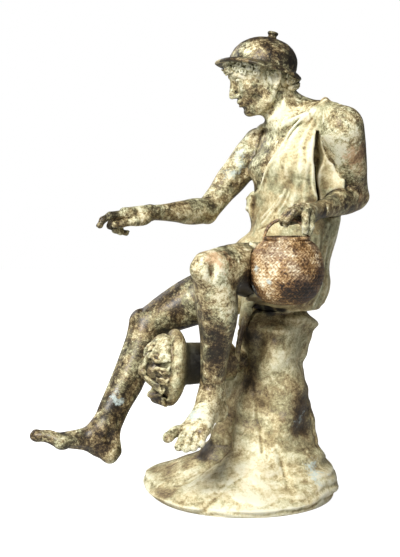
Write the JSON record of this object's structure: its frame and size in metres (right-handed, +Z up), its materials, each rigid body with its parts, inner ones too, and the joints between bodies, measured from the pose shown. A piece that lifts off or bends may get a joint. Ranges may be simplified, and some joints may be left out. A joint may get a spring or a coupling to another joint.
{
  "type": "seated fisherman fountain statue",
  "caption": "Bronze youth in a brimmed cap and one-shouldered tunic seated on a rock, reaching out, a round basket at the hip and a mask spout between the legs.",
  "frame": {"origin": "on the floor plane at the middle of the rock's underside, below the seat", "axes": "+Z up; -Y is the side shown in the picture; +X is the viewer's right, so the figure looks and reaches towards -X"},
  "size_m": [0.4103, 0.2546, 0.565],
  "materials": {
    "figure_bronze": "dark bronze with cream and green crust",
    "rock_bronze": "pale brown and cream patina",
    "basket_bronze": "reddish bronze, finely chased",
    "mask_bronze": "grey-brown patina"
  },
  "bodies": {
    "root": {"fisherman": "figure_bronze", "rock": "rock_bronze", "basket": "basket_bronze", "mask_spout": "mask_bronze"}
  },
  "joints": []
}
